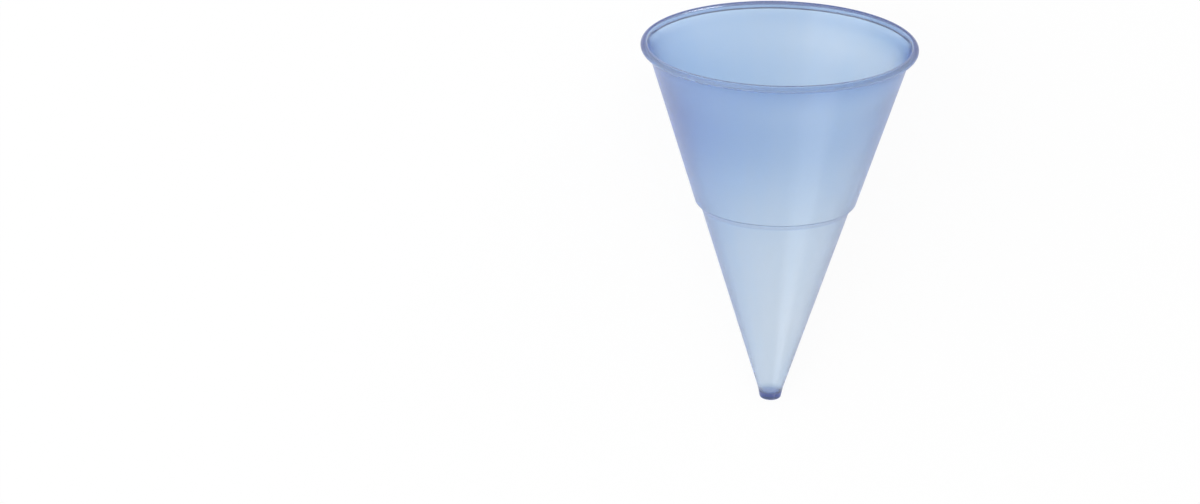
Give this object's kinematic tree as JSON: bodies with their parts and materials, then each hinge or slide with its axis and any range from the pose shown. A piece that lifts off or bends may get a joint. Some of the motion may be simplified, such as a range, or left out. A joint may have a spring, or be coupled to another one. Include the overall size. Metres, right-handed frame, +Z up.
{
  "type": "plastic cone cup",
  "caption": "Cone-shaped drinking cup of thin translucent blue plastic, with a rolled lip, a stacking shoulder and a blunt solid tip, lying on its side.",
  "frame": {"origin": "on the ground, under the middle of the box of the cup as it lies", "axes": "+Z up from the ground, +Y along the ground from the mouth to the tip, +X across the mouth"},
  "size_m": [0.07, 0.1016, 0.0662],
  "materials": {
    "frosted_plastic": "frosted translucent blue, faintly glossy"
  },
  "bodies": {
    "root": {"cup": "frosted_plastic"}
  },
  "joints": []
}
